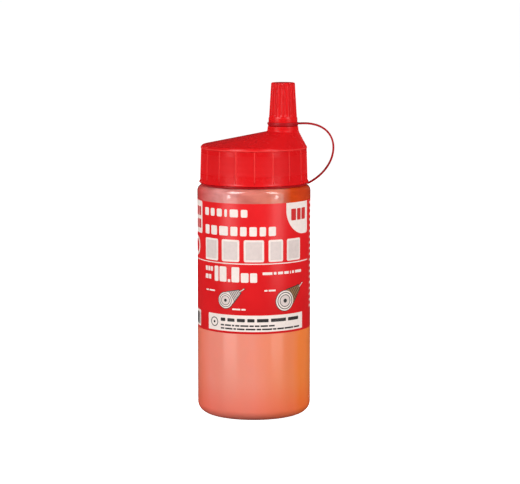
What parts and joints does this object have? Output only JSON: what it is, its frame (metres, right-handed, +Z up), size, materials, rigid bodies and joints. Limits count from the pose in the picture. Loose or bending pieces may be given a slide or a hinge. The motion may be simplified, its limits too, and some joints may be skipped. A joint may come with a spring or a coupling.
{
  "type": "chalk line reel refill bottle",
  "caption": "Round squeeze bottle of powdered chalk with a wrap label, a screw closure with an off-centre pouring nozzle, and a fluted nozzle cap on a tether strap.",
  "frame": {"origin": "centre of the bottle's base, on the plane that it stands on", "axes": "+Z up along the bottle's axis, +X towards the nozzle and the tether strap, -Y towards the front of the label"},
  "size_m": [0.0786, 0.065, 0.19],
  "materials": {
    "bottle_wall": "translucent natural polyethylene, satin, dusted with chalk inside",
    "chalk": "fine dry powder",
    "label_film": "printed gloss film",
    "gasket_foam": "foamed polyethylene",
    "closure_red": "moulded polypropylene, satin gloss",
    "cap_red": "moulded polypropylene, satin gloss",
    "tether_red": "moulded flexible polyethylene, satin"
  },
  "bodies": {
    "bottle": {"bottle": "bottle_wall", "chalk_fill": "chalk", "label": "label_film"},
    "seal": {"neck_gasket": "gasket_foam"},
    "closure": {"closure": "closure_red", "tether_neck_ring": "tether_red", "tether_strap": "tether_red"},
    "nozzle_cap": {"nozzle_cap": "cap_red", "tether_cap_ring": "tether_red"}
  },
  "joints": [
    {"name": "closure_rise", "type": "slide", "parent": "bottle", "child": "seal", "axis": [0, 0, 1], "range_m": [0, 0.0105]},
    {"name": "closure_turn", "type": "hinge", "parent": "seal", "child": "closure", "pos_m": [0, 0, 0.1333], "axis": [0, 0, 1], "range_deg": [0, 1080]},
    {"name": "cap_pull", "type": "slide", "parent": "closure", "child": "nozzle_cap", "axis": [0, 0, 1], "range_m": [0, 0.021], "deforming": ["tether_strap"]}
  ],
  "couplings": [
    {"joint": "closure_rise", "follows": "closure_turn", "m_per_rad": 0.00055704}
  ]
}
